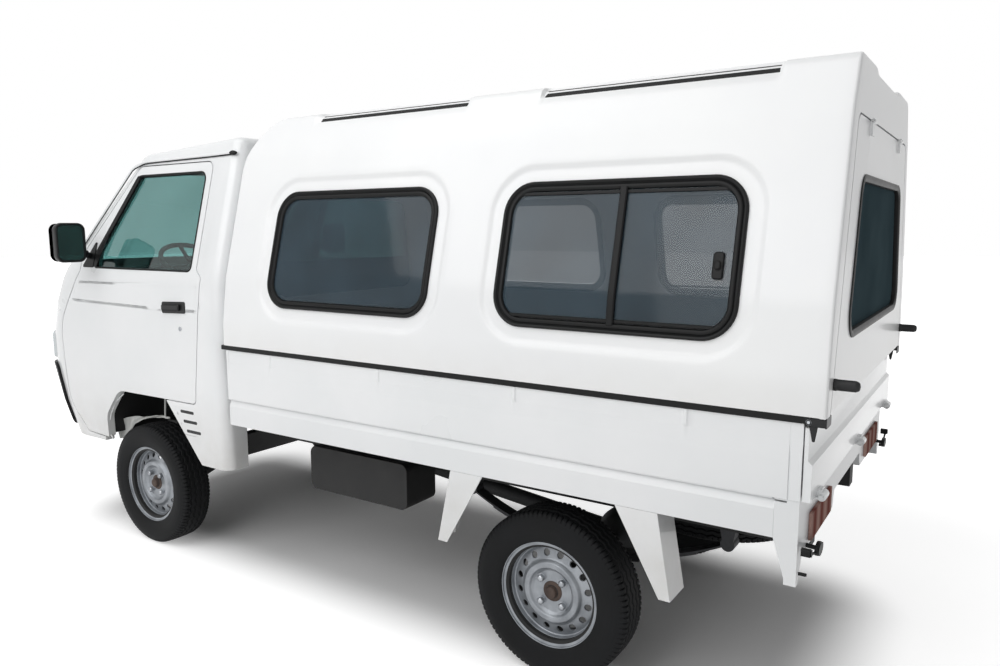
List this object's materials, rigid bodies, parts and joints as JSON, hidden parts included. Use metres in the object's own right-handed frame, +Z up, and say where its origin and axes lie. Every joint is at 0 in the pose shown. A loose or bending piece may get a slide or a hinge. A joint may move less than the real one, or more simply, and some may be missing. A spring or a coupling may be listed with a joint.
{
  "type": "cab-over pickup with hardtop canopy",
  "caption": "Small left-hand-drive cab-over pickup truck with drop-side bed, moulded white hardtop canopy with sliding side windows, opening rear hatch and drop tailgate.",
  "frame": {"origin": "on the ground, midway between the foremost point of the bumper and the rearmost point of the hatch handles, on the centre plane", "axes": "+X to the vehicle's left, -Y to its front, +Z up"},
  "size_m": [1.738, 3.71, 1.8499],
  "materials": {
    "white_paint": "gloss white enamel",
    "white_gelcoat": "moulded glass-fibre with white gelcoat",
    "tinted_glass": "green tinted",
    "grey_glass": "grey tinted",
    "dark_plastic": "grained",
    "seat_fabric": "woven cloth",
    "black_plastic": "moulded, satin",
    "lamp_lens": "clear lens",
    "tail_lens": "red-brown lens",
    "black_rubber": "satin",
    "black_chassis_paint": "satin black",
    "cast_metal": "as cast, painted dark",
    "spring_steel": "dark spring steel",
    "exhaust_steel": "dull",
    "tyre_rubber": "matt",
    "silver_wheel_paint": "silver enamel"
  },
  "bodies": {
    "chassis": {"cab_shell": "white_paint", "front_panel": "white_paint", "cab_floor": "white_paint", "cab_glass": "tinted_glass", "dashboard": "dark_plastic", "seats": "seat_fabric", "front_bumper": "black_plastic", "headlamps": "lamp_lens", "bed_floor": "white_paint", "side_gates": "white_paint", "headboard": "white_paint", "rear_apron": "white_paint", "tail_lamps": "tail_lens", "wheel_guards": "white_paint", "canopy_shell": "white_gelcoat", "canopy_glass": "grey_glass", "canopy_frames": "black_rubber", "canopy_seal": "black_rubber", "roof_strips": "black_rubber", "chassis_frame": "black_chassis_paint", "rear_axle": "cast_metal", "leaf_springs": "spring_steel", "front_suspension": "black_chassis_paint", "engine_block": "cast_metal", "fuel_tank": "black_chassis_paint", "exhaust": "exhaust_steel", "spare_wheel": "tyre_rubber"},
    "door_left": {"door_left": "white_paint", "door_left_glass": "tinted_glass", "door_left_mirror": "black_plastic"},
    "door_right": {"door_right": "white_paint", "door_right_glass": "tinted_glass", "door_right_mirror": "black_plastic"},
    "tailgate": {"tailgate": "white_paint"},
    "hatch": {"canopy_hatch": "white_gelcoat", "hatch_glass": "grey_glass", "hatch_handles": "black_plastic"},
    "steering_wheel": {"steering_wheel": "black_plastic"},
    "knuckle_left": {"knuckle_left": "cast_metal"},
    "knuckle_right": {"knuckle_right": "cast_metal"},
    "wheel_front_left": {"tyre_front_left": "tyre_rubber", "rim_front_left": "silver_wheel_paint"},
    "wheel_front_right": {"tyre_front_right": "tyre_rubber", "rim_front_right": "silver_wheel_paint"},
    "wheel_rear_left": {"tyre_rear_left": "tyre_rubber", "rim_rear_left": "silver_wheel_paint"},
    "wheel_rear_right": {"tyre_rear_right": "tyre_rubber", "rim_rear_right": "silver_wheel_paint"}
  },
  "joints": [
    {"name": "door_left_hinge", "type": "hinge", "parent": "chassis", "child": "door_left", "pos_m": [0.7, -1.65645, 1], "axis": [0, 0, -1], "range_deg": [0, 65]},
    {"name": "door_right_hinge", "type": "hinge", "parent": "chassis", "child": "door_right", "pos_m": [-0.7, -1.65645, 1], "axis": [0, 0, 1], "range_deg": [0, 65]},
    {"name": "tailgate_hinge", "type": "hinge", "parent": "chassis", "child": "tailgate", "pos_m": [0, 1.775, 0.747], "axis": [-1, 0, 0], "range_deg": [0, 175]},
    {"name": "hatch_hinge", "type": "hinge", "parent": "chassis", "child": "hatch", "pos_m": [0, 1.8, 1.69707], "axis": [1, 0, 0], "range_deg": [0, 85]},
    {"name": "steering", "type": "hinge", "parent": "chassis", "child": "steering_wheel", "pos_m": [0.3, -1.1183, 1.24998], "axis": [0, 0.53, 0.848], "range_deg": [-560, 560]},
    {"name": "steer_left", "type": "hinge", "parent": "chassis", "child": "knuckle_left", "pos_m": [0.556, -1.065, 0.2], "axis": [-0.1729, 0, 0.9849], "range_deg": [-35, 35]},
    {"name": "steer_right", "type": "hinge", "parent": "chassis", "child": "knuckle_right", "pos_m": [-0.556, -1.065, 0.2], "axis": [0.1729, 0, 0.9849], "range_deg": [-35, 35]},
    {"name": "spin_front_left", "type": "hinge", "parent": "knuckle_left", "child": "wheel_front_left", "pos_m": [0.598, -1.065, 0.272], "axis": [1, 0, 0], "continuous": true},
    {"name": "spin_front_right", "type": "hinge", "parent": "knuckle_right", "child": "wheel_front_right", "pos_m": [-0.598, -1.065, 0.272], "axis": [1, 0, 0], "continuous": true},
    {"name": "spin_rear_left", "type": "hinge", "parent": "chassis", "child": "wheel_rear_left", "pos_m": [0.556, 0.985, 0.272], "axis": [1, 0, 0], "continuous": true},
    {"name": "spin_rear_right", "type": "hinge", "parent": "chassis", "child": "wheel_rear_right", "pos_m": [-0.556, 0.985, 0.272], "axis": [1, 0, 0], "continuous": true}
  ],
  "couplings": [
    {"joint": "steer_left", "follows": "steering", "ratio": 0.0625},
    {"joint": "steer_right", "follows": "steering", "ratio": 0.0625}
  ]
}
